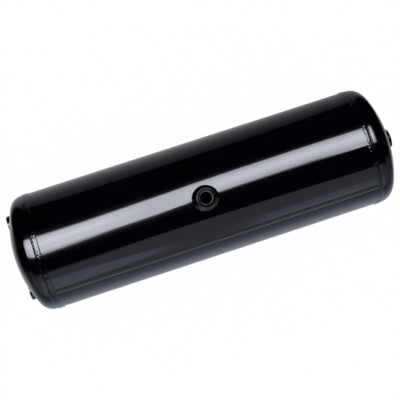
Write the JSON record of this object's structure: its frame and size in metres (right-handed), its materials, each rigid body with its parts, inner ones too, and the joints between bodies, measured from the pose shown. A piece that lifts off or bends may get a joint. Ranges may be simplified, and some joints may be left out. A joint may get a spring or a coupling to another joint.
{
  "type": "compressed air reservoir",
  "caption": "Horizontal cylindrical compressed-air reservoir: rolled steel shell, dished heads and welded threaded ports, gloss black.",
  "frame": {"origin": "on the vessel's axis, midway between the two heads' crowns", "axes": "+X along the vessel's axis, from the head with two ports to the head with one; +Z out through the centre port"},
  "size_m": [0.69, 0.2082, 0.2151],
  "materials": {
    "black_paint": "gloss black stove enamel",
    "thread_steel": "cut thread, dark phosphated steel"
  },
  "bodies": {
    "root": {"shell": "black_paint", "shell_seam_weld": "black_paint", "left_head": "black_paint", "left_girth_weld": "black_paint", "right_head": "black_paint", "right_girth_weld": "black_paint", "centre_port_boss": "black_paint", "centre_port_weld": "black_paint", "left_rear_port_boss": "black_paint", "left_rear_port_weld": "black_paint", "left_front_port_boss": "black_paint", "left_front_port_weld": "black_paint", "right_port_boss": "black_paint", "right_port_weld": "black_paint"}
  },
  "joints": []
}
